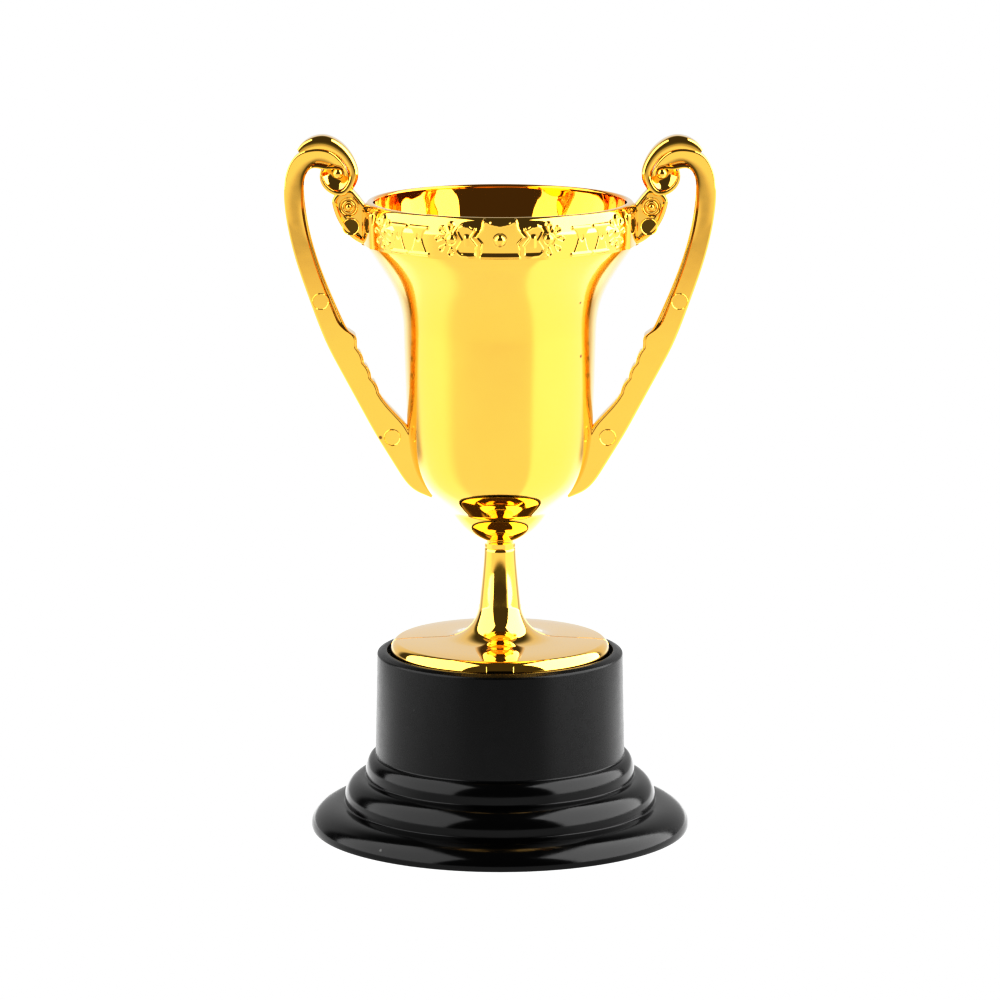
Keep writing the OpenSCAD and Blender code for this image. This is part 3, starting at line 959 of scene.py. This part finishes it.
class World(Shader):
    """The same node helpers over the world's nodes, or over a plain emission."""

    def __init__(self, tree):
        self.nodes, self.links = tree.nodes, tree.links
        self.nodes.clear()

    def step(self, source, low, high):
        """0 below low and 1 above high, or the other way round, with a soft ramp."""
        node = self.nodes.new("ShaderNodeMapRange")
        node.interpolation_type = "SMOOTHSTEP"
        up = low < high
        node.inputs["From Min"].default_value, node.inputs["From Max"].default_value = sorted((low, high))
        node.inputs["To Min"].default_value, node.inputs["To Max"].default_value = (0, 1) if up else (1, 0)
        self.links.new(source, node.inputs["Value"])
        return node.outputs["Result"]

    def blend(self, factor, a, b):
        """A number between a and b."""
        rest = self.math("MULTIPLY", self.math("SUBTRACT", 1.0, factor), a)
        return self.math("ADD", rest, self.math("MULTIPLY", factor, b))

    def across(self, x, y):
        """Distance from the vertical axis."""
        square = self.math("ADD", self.math("MULTIPLY", x, x), self.math("MULTIPLY", y, y))
        return self.math("SQRT", square, 0.0)

    def place(self, output):
        """x, y and z of the texture coordinate, and the cosine of the bearing from the front."""
        split = self.nodes.new("ShaderNodeSeparateXYZ")
        self.links.new(self.nodes.new("ShaderNodeTexCoord").outputs[output], split.inputs["Vector"])
        x, y, z = split.outputs
        across = self.math("MAXIMUM", self.across(x, y), 1e-4)
        return x, y, z, self.math("DIVIDE", self.math("MULTIPLY", y, -1.0), across)

    def seen_white(self, level, white):
        """level for reflections and bounced light, white straight to the camera."""
        return self.blend(self.nodes.new("ShaderNodeLightPath").outputs["Is Camera Ray"], level, white)


def make_floor():
    """A sheet that glows as painted light: even in front, stronger at the sides and just behind, and dark far
    in front.
    """
    mesh = bpy.data.meshes.new("floor")
    mesh.from_pydata([(-5, -5, 0), (5, -5, 0), (5, 5, 0), (-5, 5, 0)], [], [(0, 1, 2, 3)])
    floor = bpy.data.objects.new("floor", mesh)
    bpy.context.collection.objects.link(floor)
    material = bpy.data.materials.new("floor_sheet")
    material.use_nodes = True
    w = World(material.node_tree)
    x, y, _, bearing = w.place("Object")
    front = w.blend(w.step(y, -1.15, -0.50), FAR_FLOOR, NEAR_FLOOR)
    gap = w.math("MULTIPLY", w.step(bearing, -0.30, -0.50), w.step(bearing, -0.85, -0.65))
    base = w.blend(gap, front, GAP_FLOOR)
    right = w.math("MULTIPLY", w.step(bearing, 0.82, 0.72), w.step(bearing, -0.60, -0.42))
    left = w.math("MULTIPLY", w.step(bearing, 0.62, 0.25), w.step(bearing, -0.55, -0.34))
    right = w.math("MULTIPLY", right, w.step(x, 0.0, 0.03))
    left = w.math("MULTIPLY", left, w.step(x, 0.0, -0.03))
    level = w.blend(left, w.blend(right, base, RIGHT_FLOOR), LEFT_FLOOR)
    near = w.step(w.across(x, y), 0.24, 0.14)
    behind = w.math("MULTIPLY", near, w.step(bearing, -0.25, -0.50))
    level = w.blend(behind, level, BEHIND_FLOOR)
    # painted light: the sheet's own glow, at these levels in reflections and plain white to the camera
    glow = w.nodes.new("ShaderNodeEmission")
    w.links.new(w.seen_white(level, 1.0), glow.inputs["Strength"])
    w.links.new(glow.outputs["Emission"], w.nodes.new("ShaderNodeOutputMaterial").inputs["Surface"])
    floor.data.materials.append(material)


def make_world():
    """A lit backdrop behind, a dark room in front and overhead."""
    world = bpy.data.worlds.new("studio")
    world.use_nodes = True
    w = World(world.node_tree)
    _, _, z, bearing = w.place("Generated")
    behind = w.math("MULTIPLY", w.step(bearing, -0.60, -0.74), w.step(z, 0.76, 0.52))
    level = w.blend(behind, DARK_ROOM, BACKDROP)
    glow = w.nodes.new("ShaderNodeBackground")
    w.links.new(w.seen_white(level, 1.0), glow.inputs["Strength"])
    w.links.new(glow.outputs["Background"], w.nodes.new("ShaderNodeOutputWorld").inputs["Surface"])
    bpy.context.scene.world = world


def add_softbox(name, side, radiance):
    """A tall light that stands on the floor beside the trophy, its top leaning in."""
    data = bpy.data.lights.new(name, "AREA")
    data.shape = "RECTANGLE"
    data.size, data.size_y = BOX_W, BOX_H
    data.energy = radiance * math.pi * BOX_W * BOX_H
    light = bpy.data.objects.new(name, data)
    bpy.context.collection.objects.link(light)
    lean_x, lean_z = math.sin(BOX_LEAN), math.cos(BOX_LEAN)
    light.location = (side * (BOX_X - BOX_H / 2 * lean_x), BOX_Y[side > 0], BOX_H / 2 * lean_z + 0.002)
    light.rotation_euler = Vector((-side * lean_z, 0, -lean_x)).to_track_quat("-Z", "Y").to_euler()
    light.visible_camera = False


def grade():
    """A plain display transform, with the contrast of a product photograph."""
    view = bpy.context.scene.view_settings
    view.view_transform = "Standard"
    view.use_curve_mapping = True
    curve = view.curve_mapping.curves[3]
    for x, y in GRADE:
        curve.points.new(x, y)
    view.curve_mapping.update()


def make_studio():
    make_floor()
    make_world()
    add_softbox("softbox_left", -1, BOX_LEFT)
    add_softbox("softbox_right", 1, BOX_RIGHT)
    grade()


make_camera()
make_studio()
make_bowl()
make_band()
make_handles()
make_stem_foot()
make_gate_mark()
make_parting_line()
make_base()
make_pad()
make_screw()
make_washer()
